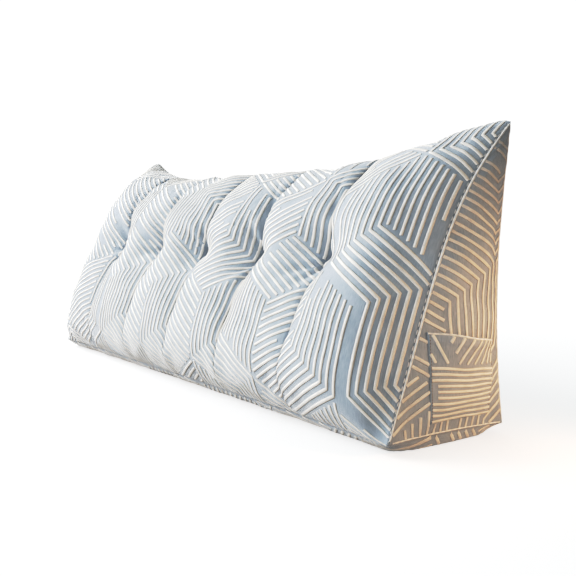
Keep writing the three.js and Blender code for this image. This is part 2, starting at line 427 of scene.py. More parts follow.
def close_at_seams(steps):
    share = np.linspace(0, 1, steps + 1)
    return blend(share, (1 - np.cos(math.pi * share)) / 2, SEAM_CLOSENESS)


def fine_stations():
    half = TUFT_SPACING / 2
    steps = half * (np.arange(CREASE_STEPS + 1) / CREASE_STEPS) ** CREASE_CLOSENESS
    places = [place + sign * steps for place in TUFT_PLACES for sign in (-1, 1)]
    rest = HALF_LENGTH - TUFT_PLACES[-1] - half
    closing = rest * (np.arange(END_STEPS) / END_STEPS) ** CREASE_CLOSENESS
    places += [HALF_LENGTH - closing, closing - HALF_LENGTH]
    return np.unique(np.round(np.concatenate(places), 7))


def rows_and_columns(name, along, heights, across):
    """The stations of a panel's rows and of its columns."""
    rows = heights if name in ("right", "left") else along
    return rows, heights if name in ("front", "back") else across


along = fine_stations()
heights = rows_by_length(close_at_seams(UP_STEPS))
across = close_at_seams(ACROSS_STEPS)
panels = grids(along, heights, across)

# The panels' flat cuts, laid out apart from each other, in metres
CUT_PLACES = {"front": (0, 0), "back": (0, 1), "base": (0, 2), "right": (2, 0), "left": (2, 1)}


def lengths(panel, axis):
    """Mean distances along one axis of a grid of points, as the flat cloth has them."""
    steps = np.linalg.norm(np.diff(panel, axis=axis), axis=2).mean(axis=1 - axis)
    return np.concatenate([[0], np.cumsum(steps)])


flats = {}
for name, place in CUT_PLACES.items():
    if name in ("right", "left"):
        cut = panels[name][..., 1:] * (1 if name == "right" else (-1, 1))
    else:
        u, v = lengths(panels[name], 0), lengths(panels[name], 1)
        cut = np.stack(np.broadcast_arrays(u[:, None], v[None, :]), -1)
    flats[name] = cut + np.array(place)

if moves:
    for name, panel in panels.items():
        rows, columns = rows_and_columns(name, along, heights, across)
        net_rows, net_columns = rows_and_columns(name, net_along, net_heights, net_across)
        move = curve_through(net_rows, moves[name], rows)
        panel += curve_through(net_columns, move.swapaxes(0, 1), columns).swapaxes(0, 1)

# Small forms of the finished cloth. They stand off it, or sink into it if negative: first
# the gathers along the seams and the lumps of the filling.
GATHER_DEPTH = 0.0007
GATHER_REACH = 0.011
GATHER_PITCH = 0.027
LUMP_HEIGHT = 0.0011
LUMP_SIZE = 0.085
LUMP_WAVES = 7
LUMPS_FROM_SEAM = 0.03


def ripple(place, pitch, seed):
    """An uneven wave, so that no two gathers are equally wide."""
    turn = 2 * math.pi * place / pitch
    return np.sin(turn + 1.3 * np.sin(turn / 3.7 + seed) + 0.9 * np.sin(turn / 7.3 + 2.1 * seed))


def edge_distances(flat):
    """How far each point of a cut lies from its first and last row and column."""
    return [np.linalg.norm(flat - edge, axis=-1) for edge in borders(flat)]


def gathers(flat, seed):
    """Short ripples that stand beside each seam and run out from it."""
    total = 0.0
    distances = edge_distances(flat)
    for i, distance in enumerate(distances):
        place = distances[2 if i < 2 else 0]
        near = distance / GATHER_REACH * np.exp(1 - distance / GATHER_REACH)
        strength = 0.65 + 0.35 * ripple(place, GATHER_PITCH * 5, seed + i)
        total = total + GATHER_DEPTH * near * strength * ripple(place, GATHER_PITCH, seed + 3 * i)
    return total


def lumps(flat, seed):
    """The uneven filling under the cloth, as waves that run in all directions."""
    total = 0.0
    rng = np.random.default_rng(seed)
    for angle in rng.uniform(0, math.pi, LUMP_WAVES):
        place = flat[..., 0] * math.cos(angle) + flat[..., 1] * math.sin(angle)
        turn = 2 * math.pi * place / LUMP_SIZE
        total = total + np.sin(turn * rng.uniform(0.6, 1.4) + rng.uniform(0, 6))
    return LUMP_HEIGHT * total / 2 * unit(np.minimum.reduce(edge_distances(flat)) / LUMPS_FROM_SEAM)


# Folds that run out from each tuft, a pit where its stitch draws the cloth down, and
# pleats beside the creases. A pleat runs between two points given from its tuft, along and
# up the panel.
TUFT_FOLDS = 7
TUFT_FOLD_DEPTH = 0.0030
TUFT_FOLD_REACH = 0.026
TUFT_PIT_DEPTH = 0.009
TUFT_PIT_REACH = 0.015
PLEAT_HALF_WIDTH = 0.0035
PLEATS = [
    (0, (-0.016, 0.060), (-0.046, 0.168), 0.0026),
    (0, (0.030, 0.120), (0.020, 0.178), 0.0016),
    (1, (-0.014, 0.082), (-0.038, 0.176), 0.0028),
    (1, (-0.052, 0.128), (-0.060, 0.182), 0.0018),
    (2, (-0.018, 0.070), (-0.050, 0.172), 0.0024),
    (2, (0.026, 0.118), (0.018, 0.176), 0.0016),
    (3, (-0.012, 0.078), (-0.040, 0.170), 0.0026),
    (3, (-0.040, 0.024), (-0.085, 0.052), 0.0016),
    (4, (-0.016, 0.066), (-0.042, 0.174), 0.0026),
    (4, (0.020, -0.020), (0.058, -0.052), 0.0014),
]


def folds_around(flat, centre, seed):
    """Folds that run out from a tuft."""
    side, up = flat[..., 0] - centre[0], flat[..., 1] - centre[1]
    away = np.hypot(side, up) / TUFT_FOLD_REACH
    angle = np.arctan2(up, side)
    uneven = angle + 0.35 * np.sin(2 * angle + seed) + 0.2 * np.sin(3 * angle + 2 * seed)
    return TUFT_FOLD_DEPTH * away * np.exp(1 - away) * np.cos(TUFT_FOLDS * uneven + seed)


def pleats(flat, tufts):
    total = 0.0
    for tuft, first, last, depth in PLEATS:
        start = np.array(tufts[tuft]) + first
        run = np.subtract(last, first)
        share = unit(((flat - start) @ run) / (run @ run))
        off = np.linalg.norm(flat - start - share[..., None] * run, axis=-1) / PLEAT_HALF_WIDTH
        total = total - depth * np.exp(-off * off) * wave(share) ** 0.5
    return total


# Corners have no gathers. Beside a seam and in a tuft's pit the cloth is darkened with painted shade,
# less of it beside the seams in the corners.
CALM_CORNER = 0.07
SEAM_SINK = 0.0012
SEAM_SHADE_REACH = 0.0013
CORNER_SHADE_SHARE = 0.1

front_u, front_v = flats["front"][:, 0, 0], flats["front"][0, :, 1]
tuft_spots = [
    (np.interp(place, along, front_u), np.interp(height, heights, front_v))
    for place, height in zip(TUFT_PLACES, TUFT_HEIGHTS)
]
relief, tucked, pressed_flat = {}, {}, {}
for seed, (name, flat) in enumerate(flats.items()):
    from_ear = unit(np.linalg.norm(np.abs(panels[name]) - EAR_TIP, axis=-1) / CALM_CORNER)
    above_base = unit(panels[name][..., 2] / CALM_CORNER)
    from_corner = np.minimum(from_ear, above_base)
    relief[name] = gathers(flat, seed) * from_ear * above_base + lumps(flat, seed + 20)
    by_seam = np.exp(-np.minimum.reduce(edge_distances(flat)) / SEAM_SHADE_REACH)
    tucked[name] = by_seam * blend(CORNER_SHADE_SHARE, 1.0, from_corner)
    pressed_flat[name] = 1 - from_corner
for seed, spot in enumerate(tuft_spots):
    away = np.linalg.norm(flats["front"] - spot, axis=-1) / TUFT_PIT_REACH
    relief["front"] += folds_around(flats["front"], spot, seed) - TUFT_PIT_DEPTH * np.exp(-away * away)
    # Painted shade in the pit
    tucked["front"] = np.maximum(tucked["front"], np.exp(-away))
relief["front"] += pleats(flats["front"], tuft_spots)

# Above each tuft two billows press together, and the crease between them is a deep slit, darkened on
# both flanks by painted shade
SLIT_DEPTH = 0.012
SLIT_HALF_WIDTH = 0.006
SLIT_SHADE_HALF_WIDTH = 0.015
SLIT_FROM = 0.56
SLIT_TO = 0.98

closed = wave(unit((heights - SLIT_FROM) / (SLIT_TO - SLIT_FROM))) ** 0.5
for spot_u, spot_v in tuft_spots:
    aside = flats["front"][..., 0] - spot_u
    relief["front"] -= SLIT_DEPTH * np.exp(-((aside / SLIT_HALF_WIDTH) ** 2)) * closed
    shaded = np.exp(-((aside / SLIT_SHADE_HALF_WIDTH) ** 2)) * closed
    tucked["front"] = np.maximum(tucked["front"], shaded)

# The cloth goes where the CAD cushion is. The ribs under its base are pressed flat, and
# carry it a little off the floor.
RIB_PRESSED = 0.0007
NO_RELIEF_BELOW = 0.001
FULL_RELIEF_ABOVE = 0.005

low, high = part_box("cushion")
own_points = np.concatenate([panel.reshape(-1, 3) for panel in grids(along, heights, across).values()])
frame_shift = (np.array(low) + np.array(high) - own_points.min(0) - own_points.max(0)) / 2
frame_shift[2] = low.z - own_points[:, 2].min()
for name in panels:
    panels[name] = panels[name] + frame_shift

cushion_mesh, numbers = cloth_mesh("cushion_cloth", panels, flats)
cushion = new_object("cushion_cloth", cushion_mesh)
count = len(cushion_mesh.vertices)
stand, painted_shade_values, flatness = np.zeros(count), np.zeros(count), np.zeros(count)
for name, ids in numbers.items():
    stand[ids] = relief[name]
    painted_shade_values[ids] = tucked[name]
    flatness[ids] = pressed_flat[name]
for ids in numbers.values():
    for edge in borders(ids):
        stand[edge] = -SEAM_SINK
points, normals = np.zeros(count * 3), np.zeros(count * 3)
cushion_mesh.vertices.foreach_get("co", points)
cushion_mesh.vertex_normals.foreach_get("vector", normals)
points = points.reshape(-1, 3)
stand *= unit((points[:, 2] - NO_RELIEF_BELOW) / (FULL_RELIEF_ABOVE - NO_RELIEF_BELOW))
points += normals.reshape(-1, 3) * stand[:, None]
points[:, 2] = np.maximum(points[:, 2], RIB_PRESSED)
cushion_mesh.vertices.foreach_set("co", points.ravel())
# Each point's painted shade, which the materials darken by
for label, values in (("tucked", painted_shade_values), ("pressed", flatness)):
    cushion_mesh.attributes.new(label, "FLOAT", "POINT").data.foreach_set("value", values)
cushion_mesh.update()


class Wire:
    """A socket of a node tree. Arithmetic on it adds Math nodes."""

    def __init__(self, tree, socket):
        self.tree = tree
        self.socket = socket

    def math(self, operation, *values):
        return self.tree.add("ShaderNodeMath", {"operation": operation}, dict(enumerate(values)))

    __add__ = __radd__ = lambda self, other: self.math("ADD", self, other)
    __mul__ = __rmul__ = lambda self, other: self.math("MULTIPLY", self, other)
    __sub__ = lambda self, other: self.math("SUBTRACT", self, other)
    __rsub__ = lambda self, other: self.math("SUBTRACT", other, self)
    __pow__ = lambda self, other: self.math("POWER", self, other)
    __abs__ = lambda self: self.math("ABSOLUTE", self)
    sine = lambda self: self.math("SINE", self)

    def other(self, name):
        """Another output of the same node."""
        return Wire(self.tree, self.socket.node.outputs[name])


class Tree:
    """The nodes of a material, of a geometry group or of the studio around the object."""

    def __init__(self, holder):
        self.nodes = holder.nodes
        self.links = holder.links

    def add(self, kind, settings=None, sockets=None, output=0):
        """Adds a node: its settings, then the values or links of its sockets."""
        node = self.nodes.new(kind)
        for name, value in (settings or {}).items():
            if name == "stops":
                for stop, (position, colour) in zip(node.color_ramp.elements, value):
                    stop.position = position
                    stop.color = (*colour, 1)
            elif name == "captured":
                node.capture_items.new(*value)
            else:
                setattr(node, name, value)
        for key, value in (sockets or {}).items():
            if isinstance(value, Wire):
                self.links.new(value.socket, node.inputs[key])
            else:
                node.inputs[key].default_value = value
        return Wire(self, node.outputs[output]) if node.outputs else None

    def part(self, vector, axis):
        return self.add("ShaderNodeSeparateXYZ", {}, {"Vector": vector}, axis)

    def vector(self, operation, sockets, output=0):
        return self.add("ShaderNodeVectorMath", {"operation": operation}, sockets, output)

    def attribute(self, name):
        return self.add("ShaderNodeAttribute", {"attribute_name": name}, output="Fac")

    def object_place(self):
        return self.add("ShaderNodeTexCoord", output="Object")

    def noise(self, place, scale, detail=2.0):
        return self.add("ShaderNodeTexNoise", {}, {"Vector": place, "Scale": scale, "Detail": detail})

    def between(self, share, first, second):
        """A colour between two colours."""
        ends = [end if isinstance(end, Wire) else (*end, 1) for end in (first, second)]
        sockets = {"Factor": share, 6: ends[0], 7: ends[1]}
        return self.add("ShaderNodeMix", {"data_type": "RGBA"}, sockets, output=2)

    def ramp(self, value, *stops):
        return self.add("ShaderNodeValToRGB", {"stops": stops}, {"Fac": value})

    def bump(self, height, *, distance, strength=0.7):
        sockets = {"Height": height, "Distance": distance, "Strength": strength}
        return self.add("ShaderNodeBump", {}, sockets)


SHEEN_SPREAD = 0.4


def new_material(name, finish, *colours, sheen, shine):
    """A new material. Its finish is a function that gives what varies over the surface."""
    material = bpy.data.materials.new(name)
    material.use_nodes = True
    tree = Tree(material.node_tree)
    shader = tree.nodes["Principled BSDF"]
    shader.inputs["Specular IOR Level"].default_value = shine
    shader.inputs["Sheen Weight"].default_value = sheen
    shader.inputs["Sheen Roughness"].default_value = SHEEN_SPREAD
    for label, wire in finish(tree, *colours).items():
        tree.links.new(wire.socket, shader.inputs[label])
    return material


GROUND_DEEP = (0.285, 0.345, 0.41)
GROUND_PALE = (0.42, 0.475, 0.535)
GROUND_IN_SHADE = (0.06, 0.085, 0.13)
THREAD_PITCH = 0.0012
SLUB_LENGTH = 0.012
SLUB_WIDTH = 0.0016
FADED_PATCHES = 14.0


def ground(tree):
    """Satin twill with thicker slub threads in it, and painted shade in the folds beside the sewing, in
    the tufts' pits and along the creases.
    """
    cut = tree.add("ShaderNodeUVMap", {"uv_map": "flat_cut"})
    scale = (1 / SLUB_WIDTH, 1 / SLUB_LENGTH, 1)
    slub = tree.noise(tree.add("ShaderNodeMapping", {}, {"Vector": cut, "Scale": scale}), 1.0)
    cloud = tree.noise(cut, FADED_PATCHES, 3.0)
    place = tree.part(cut, "X")
    turn = 2 * math.pi / THREAD_PITCH
    twill = ((place + place.other("Y") * 0.5) * turn).sine()
    weft = (place.other("Y") * turn).sine()
    shade = slub * 0.55 + cloud * 0.45 + twill * 0.05
    colour = tree.ramp(shade, (0.3, GROUND_DEEP), (0.68, GROUND_PALE))
    # Painted shade in the folds, beside the seams, in the pits and along the creases
    colour = tree.between(tree.attribute("tucked") * 0.6, colour, GROUND_IN_SHADE)
    bump = tree.bump(twill * 0.5 + weft * 0.3 + slub * 1.5, distance=0.0003)
    return {"Base Color": colour, "Roughness": 0.78 - slub * 0.3, "Normal": bump}


GROUND = new_material("ground_weave", ground, sheen=1.0, shine=0.35)
cushion.data.materials.append(GROUND)
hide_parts("cushion")
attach(cushion, "root")


# Patch pocket
# One sheet of the same cloth with a turned hem at its mouth, sewn to the right end panel
# along its sides and bottom. Its mouth stands open.
POCKET_FRONT = -0.047
POCKET_BACK = 0.090
POCKET_BOTTOM = 0.042
POCKET_MOUTH_FRONT = 0.312
POCKET_MOUTH_BACK = 0.284
POCKET_STEPS = 56


def pocket_spot(up, over):
    """A spot of the pocket in the flat cut of the end panel that it is sewn on."""
    mouth = blend(POCKET_MOUTH_FRONT, POCKET_MOUTH_BACK, over)
    height = blend(POCKET_BOTTOM, mouth, up)
    front = end_panel(1, height, 0 * height)[..., 1]
    back = end_panel(1, height, 0 * height + 1)[..., 1]
    across = (blend(POCKET_FRONT, POCKET_BACK, over) - front) / (back - front)
    return end_panel(1, height, across)[..., 1:] + np.array(CUT_PLACES["right"])


shares = close_at_seams(POCKET_STEPS)
up, over = np.meshgrid(shares, shares, indexing="ij")
spots = pocket_spot(up, over)
pocket_width = POCKET_BACK - POCKET_FRONT
pocket_height = np.ptp(spots[:, 0, 1])
pocket_cut = np.stack([over * pocket_width, up * pocket_height], -1)
from_edge = np.minimum.reduce([over * pocket_width, (1 - over) * pocket_width, (1 - up) * pocket_height])

# How far the sheet stands off the end panel, opens towards its mouth, puckers along its
# stitched sides and thickens at its hem
POCKET_GAP = 0.0004
POCKET_OPEN = 0.014
POCKET_OPEN_ACROSS = 1.2
POCKET_OPEN_UP = 1.3
PUCKER_HEIGHT = 0.0002
PUCKER_PITCH = 0.021
PUCKER_FROM_EDGE = 0.004
PUCKER_REACH = 0.014
POCKET_THICK = 0.0012
POCKET_EDGE_ROUND = 0.003
POCKET_EDGE_THIN = 0.35
HEM_THICK = 0.0024
HEM_FROM = 0.88
HEM_STEP = 0.02

lift = POCKET_GAP + POCKET_OPEN * wave(over) ** POCKET_OPEN_ACROSS * up ** POCKET_OPEN_UP
near_sides = np.exp(-from_edge / PUCKER_REACH) * unit(from_edge / PUCKER_FROM_EDGE) * (1 - up)
lift += PUCKER_HEIGHT * (1 + ripple(up * pocket_height, PUCKER_PITCH, 3)) * near_sides
rounded = np.sqrt(1 - (1 - unit(from_edge / POCKET_EDGE_ROUND)) ** 2)
thick = blend(POCKET_THICK, HEM_THICK, unit((up - HEM_FROM) / HEM_STEP))
thick *= blend(POCKET_EDGE_THIN, 1, rounded)

# The cuts of the pocket's outside and inside, and of the narrow edge between them
OUTSIDE_CUT = (4, 0)
INSIDE_CUT = (4, 1)
EDGE_CUT = (6, 0)
EDGE_CUT_STEP = 0.002


def rim(grid):
    """The points round a grid."""
    return np.concatenate([grid[:-1, 0], grid[-1, :-1], grid[:0:-1, -1], grid[0, :0:-1]])


def closed_sheet(name, outer, inner, cut):
    """A thin closed sheet between two grids of points."""
    rows, columns = outer.shape[:2]
    count = rows * columns
    front = np.arange(count).reshape(rows, columns)
    faces, corners = [], []
    for ids, place in ((front[:, ::-1], OUTSIDE_CUT), (front + count, INSIDE_CUT)):
        quads = quads_of(ids).reshape(-1, 4)
        faces += quads.tolist()
        corners += (cut.reshape(-1, 2)[quads.ravel() % count] + place).tolist()
    for i, (a, b) in enumerate(zip(rim(front).tolist(), np.roll(rim(front), -1).tolist())):
        faces.append([a, b, b + count, a + count])
        square = np.array([(i, 0), (i + 1, 0), (i + 1, 1), (i, 1)]) * EDGE_CUT_STEP
        corners += (square + EDGE_CUT).tolist()
    return cut_mesh(name, np.concatenate([outer.reshape(-1, 3), inner.reshape(-1, 3)]), faces, corners)


outer = np.concatenate([spots, (lift + thick)[..., None]], -1)
inner = np.concatenate([spots, lift[..., None]], -1)
pocket_sheet = closed_sheet("pocket_sheet", outer, inner, pocket_cut)

# Painted shade along the sewn sides and bottom, where the sheet meets the end panel; none at the mouth
POCKET_SHADE = 1.5
POCKET_SHADE_REACH = 0.0018

from_sewing = np.minimum(from_edge, up * pocket_height) / POCKET_SHADE_REACH
pocket_shade_values = POCKET_SHADE * np.exp(-from_sewing * from_sewing) * (from_edge < (1 - up) * pocket_height)
pocket_shade_attribute = pocket_sheet.attributes.new("tucked", "FLOAT", "POINT")
pocket_shade_attribute.data.foreach_set("value", np.tile(pocket_shade_values.ravel(), 2))


def geometry_group(name, sizes):
    """A geometry node group with named inputs. Returns it, its tree and its inputs."""
    group = bpy.data.node_groups.new(name, "GeometryNodeTree")
    inputs = {"Geometry": "Geometry", "Cloth": "Object", "Material": "Material", **sizes}
    for label, kind in inputs.items():
        group.interface.new_socket(name=label, in_out="INPUT", socket_type="NodeSocket" + kind)
    group.interface.new_socket(name="Geometry", in_out="OUTPUT", socket_type="NodeSocketGeometry")
    tree = Tree(group)
    entry = tree.add("NodeGroupInput")
    return group, tree, {label: entry.other(label) for label in inputs}


def kept_value(tree, geometry, name, value):
    """Keeps a value at each point of a geometry, for its material."""
    settings = {"data_type": "FLOAT", "domain": "POINT"}
    sockets = {"Geometry": geometry, "Name": name, "Value": value}
    return tree.add("GeometryNodeStoreNamedAttribute", settings, sockets)


# In the corners of the cushion what lies on the cloth is pressed down by up to this share
MOST_PRESSED = 0.65
NOTHING_UNDER_FLOOR = (-9.0, -9.0, 0.0)


def lay_on_cloth(tree, flat, given):
    """Ends a group: X and Y of flat geometry are the cut's, and Z stands off the cloth."""
    skin = tree.add("GeometryNodeObjectInfo", {}, {"Object": given["Cloth"]}, output="Geometry")
    sockets = {"Geometry": skin, "Normal": tree.add("GeometryNodeInputNormal")}
    surface = tree.add("GeometryNodeCaptureAttribute", {"captured": ("VECTOR", "Normal")}, sockets)
    place = tree.add("GeometryNodeInputPosition")

    def named(label, kind):
        return tree.add("GeometryNodeInputNamedAttribute", {"data_type": kind}, {"Name": label})

    def at_cut(value, kind="FLOAT_VECTOR"):
        cut = named("flat_cut", "FLOAT_VECTOR")
        sockets = {"Mesh": surface, "Value": value, "Source UV Map": cut, "Sample UV": place}
        return tree.add("GeometryNodeSampleUVSurface", {"data_type": kind}, sockets)

    stand = tree.part(place, "Z") * (1 - at_cut(named("pressed", "FLOAT"), "FLOAT") * MOST_PRESSED)
    outward = tree.vector("NORMALIZE", {0: at_cut(surface.other("Normal"))})
    lifted = tree.vector("SCALE", {0: outward, "Scale": stand})
    point = tree.vector("ADD", {0: at_cut(tree.add("GeometryNodeInputPosition")), 1: lifted})
    point = tree.vector("MAXIMUM", {0: point, 1: NOTHING_UNDER_FLOOR})
    # The cloth's painted shade of folds, seams and creases goes over onto what lies on it
    laid = kept_value(tree, flat, "tucked", at_cut(named("tucked", "FLOAT"), "FLOAT"))
    laid = tree.add("GeometryNodeSetPosition", {}, {"Geometry": laid, "Position": point})
    laid = tree.add("GeometryNodeSetShadeSmooth", {}, {"Geometry": laid})
    laid = tree.add("GeometryNodeRealizeInstances", {}, {"Geometry": laid})
    sockets = {"Geometry": laid, "Material": given["Material"]}
    tree.add("NodeGroupOutput", {}, {"Geometry": tree.add("GeometryNodeSetMaterial", {}, sockets)})


def grown(name, flat_mesh, group, **values):
    """Runs a node group on a flat mesh and keeps the result as a plain mesh object."""
    host = new_object(name + "_flat", flat_mesh)
    modifier = host.modifiers.new("grow", "NODES")
    modifier.node_group = group
    for item in group.interface.items_tree:
        if item.in_out == "INPUT" and item.name.lower() in values:
            modifier[item.identifier] = values[item.name.lower()]
    shown = host.evaluated_get(bpy.context.evaluated_depsgraph_get())
    piece = new_object(name, bpy.data.meshes.new_from_object(shown))
    bpy.data.objects.remove(host)
    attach(piece, "root")
    return piece


SHEET_GROUP, tree, given = geometry_group("laid_sheet", {})
lay_on_cloth(tree, given["Geometry"], given)
pocket = grown("pocket_cloth", pocket_sheet, SHEET_GROUP, cloth=cushion, material=GROUND)
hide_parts("pocket")


# Ribs
# Raised ribs of thick cream yarn woven on the blue ground, in bands of parallel ribs that
# turn through sixty degrees from patch to patch and stop square against each other.
PATCH = 0.1294


def rib_segments(size, turn, ribs_a_patch, rng):
    """Straight ribs in the rhombuses of a hexagonal net that covers a rectangle."""
    side = [PATCH * complex(math.cos(a), math.sin(a)) for a in turn + np.arange(6) * math.pi / 3]
    shares = (np.arange(ribs_a_patch) + 0.5) / ribs_a_patch
    reach = int((size[0] + size[1]) / PATCH) + 3
    steps = range(-reach, reach + 1)
    centres = [(a, b) for a in steps for b in steps if (a - b) % 3 == 0]
    segments = []
    for a, b in centres:
        centre = a * side[0] + b * side[1]
        for k in (0, 2, 4):
            run, step = side[k], side[(k + 2) % 6]
            if rng.random() < 0.5:
                run, step = step, run
            middle = centre + (run + step) / 2
            if -PATCH < middle.real < size[0] + PATCH and -PATCH < middle.imag < size[1] + PATCH:
                segments += [(centre + t * step, centre + t * step + run) for t in shares]
    return segments


def chained(segments):
    """Joins ribs that meet end to end into longer lines that bend from patch to patch."""

    def key(point):
        return round(point.real * 1e4), round(point.imag * 1e4)

    meeting = {}
    for i, ends in enumerate(segments):
        for which, point in enumerate(ends):
            meeting.setdefault(key(point), []).append((i, which))
    used = set()

    def follow(i, leaving_by):
        line = []
        while True:
            used.add(i)
            line.append(segments[i][leaving_by])
            after = [m for m in meeting[key(line[-1])] if m[0] not in used]
            if not after:
                return line
            i, entered_by = after[0]
            leaving_by = 1 - entered_by

    chains = []
    for i in range(len(segments)):
        if i not in used:
            forward = follow(i, 1)
            chains.append(follow(i, 0)[::-1] + forward)
    return chains


def shortened(line, cut):
    """Takes a length off the end of a line."""
    line = list(line)
    while len(line) > 1:
        last = line[-1] - line[-2]
        if abs(last) > cut:
            line[-1] -= last / abs(last) * cut
            return line
        cut -= abs(last)
        line.pop()
    return []


def cross(a, b):
    return a.real * b.imag - a.imag * b.real


def is_within(point, outline):
    after = np.roll(outline, -1)
    spans = (outline.imag > point.imag) != (after.imag > point.imag)
    rise = np.where(spans, after.imag - outline.imag, 1)
    meets = outline.real + (point.imag - outline.imag) * (after.real - outline.real) / rise
    return bool(np.count_nonzero(spans & (meets > point.real)) % 2)


def trimmed(line, outline, inside=True):
    """The stretches of a line that lie inside an outline, or outside it."""
    sides = np.roll(outline, -1) - outline
    pieces, current = [], []
    for start, end in zip(line[:-1], line[1:]):
        turn = cross(end - start, sides)
        turn = np.where(turn == 0, 1e-12, turn)
        along_line = cross(outline - start, sides) / turn
        along_side = cross(outline - start, end - start) / turn
        hits = along_line[(along_side >= 0) & (along_side < 1) & (along_line > 0) & (along_line < 1)]
        stops = [0, *np.sort(hits), 1]
        for a, b in zip(stops[:-1], stops[1:]):
            first, last = start + (end - start) * a, start + (end - start) * b
            if is_within((first + last) / 2, outline) == inside:
                if not current:
                    current = [first]
                    pieces.append(current)
                current.append(last)
            else:
                current = []
    return pieces


def inset(outline, distance):
    """An anticlockwise outline moved inwards all round."""
    moved = []
    for before, corner, after in zip(np.roll(outline, 1), outline, np.roll(outline, -1)):
        a = (corner - before) / abs(corner - before)
        b = (after - corner) / abs(after - corner)
        moved.append(corner + distance * (a * 1j + b * 1j) / (1 + (a.conjugate() * b).real))
    return np.array(moved)


OUTLINE_STEP = 0.012


def outline_of(flat):
    """The outline of a cut, anticlockwise."""
    loop = rim(flat[..., 0] + 1j * flat[..., 1])
    far = [loop[0]]
    for point in loop[1:]:
        if abs(point - far[-1]) > OUTLINE_STEP and abs(point - loop[0]) > OUTLINE_STEP:
            far.append(point)
    far = np.array(far)
    return far if cross(far, np.roll(far, -1)).sum() > 0 else far[::-1]


RIB_STEP = 0.007
RIB_CREASE_STEP = 0.0032
CREASE_NEAR = 0.016
crease_places = np.interp(TUFT_PLACES, along, front_u)


def stepped(line, near_crease=False):
    """Points along a line, close together where it crosses a crease."""
    points = [line[0]]
    for start, end in zip(line[:-1], line[1:]):
        reach = abs(end - start) / 2 + CREASE_NEAR
        close = near_crease and np.abs(crease_places - ((start + end) / 2).real).min() < reach
        count = max(1, math.ceil(abs(end - start) / (RIB_CREASE_STEP if close else RIB_STEP)))
        order = np.arange(1, count + 1)
        fine = start + (end - start) * order / count
        if close:
            near = np.abs(crease_places[None, :] - fine.real[:, None]).min(1) < CREASE_NEAR
            fine = fine[near | (order % 2 == 0) | (order == count)]
        points.extend(fine)
    return points


RIB_WIDTH = 0.0060
RIB_SEAM_GAP = 0.0030
RIB_END_GAP = 0.0022
RIB_LEFT_OUT = 0.025
RIB_CUT_SHORT = 0.13
RIB_CUT_BY = (0.05, 0.7)
pocket_outline = outline_of(spots)


def panel_ribs(name, turn, ribs_a_patch, seed):
    """The lines of one panel's ribs in its flat cut, a few left out or cut short."""
    rng = np.random.default_rng(seed)
    outline = outline_of(flats[name])
    corner = complex(outline.real.min(), outline.imag.min())
    size = (np.ptp(outline.real), np.ptp(outline.imag))
    edge = inset(outline, RIB_SEAM_GAP)
    inner = inset(outline, RIB_SEAM_GAP + RIB_WIDTH)
    lines = []
    for chain in chained(rib_segments(size, turn, ribs_a_patch, rng)):
        left_out, cut_short, share = rng.random(3)
        if left_out < RIB_LEFT_OUT:
            continue
        if cut_short < RIB_CUT_SHORT:
            chain = shortened(chain, PATCH * blend(*RIB_CUT_BY, share))
        chain = shortened(shortened(chain, RIB_END_GAP)[::-1], RIB_END_GAP)
        pieces = trimmed([corner + p for p in chain], edge)
        if name == "right":
            pieces = [part for piece in pieces for part in trimmed(piece, pocket_outline, inside=False)]
        for piece in pieces:
            if sum(abs(b - a) for a, b in zip(piece[:-1], piece[1:])) > 2 * RIB_WIDTH:
                points = stepped(piece, near_crease=name == "front")
                if any(is_within(p, inner) for p in points):
                    lines.append(points)
    return lines


RIB_CREAM = (0.81, 0.79, 0.75)
RIB_DIM = (0.62, 0.60, 0.57)
RIB_FOOT_SHADE = (0.24, 0.26, 0.29)
RIB_IN_SHADE = (0.10, 0.10, 0.11)
YARN_PITCH = 0.0017
YARN_SLANT = 0.0006
YARN_FLUFF = 1100.0
YARN_PATCHES = 45.0


def yarn(tree):
    """Thick fluffy yarn: short cross threads, with painted shade where it meets the ground and in the
    cloth's folds.
    """
    place = tree.object_place()
    fluff = tree.noise(place, YARN_FLUFF)
    cloud = tree.noise(place, YARN_PATCHES)
    side = abs(tree.attribute("side"))
    slanted = tree.attribute("run") + side * YARN_SLANT
    thread = (slanted * (2 * math.pi / YARN_PITCH) + fluff * 4).sine()
    shade = fluff * 0.5 + cloud * 0.5 + thread * 0.07
    colour = tree.ramp(shade, (0.32, RIB_DIM), (0.58, RIB_CREAM))
    # Painted shade at the rib's edges where it meets the ground, and the cloth's painted shade of its
    # folds
    foot = tree.add("ShaderNodeClamp", {}, {0: side + (fluff - 0.5) * 0.5})
    colour = tree.between(foot ** 7 * 0.75, colour, RIB_FOOT_SHADE)
    colour = tree.between(tree.attribute("tucked") ** 1.5 * 0.7, colour, RIB_IN_SHADE)
    bump = tree.bump(thread * 0.35 + fluff, distance=0.0005, strength=0.8)
    return {"Base Color": colour, "Roughness": 1.0 - cloud * 0.15, "Normal": bump}


BULGE_SCALE = 70.0


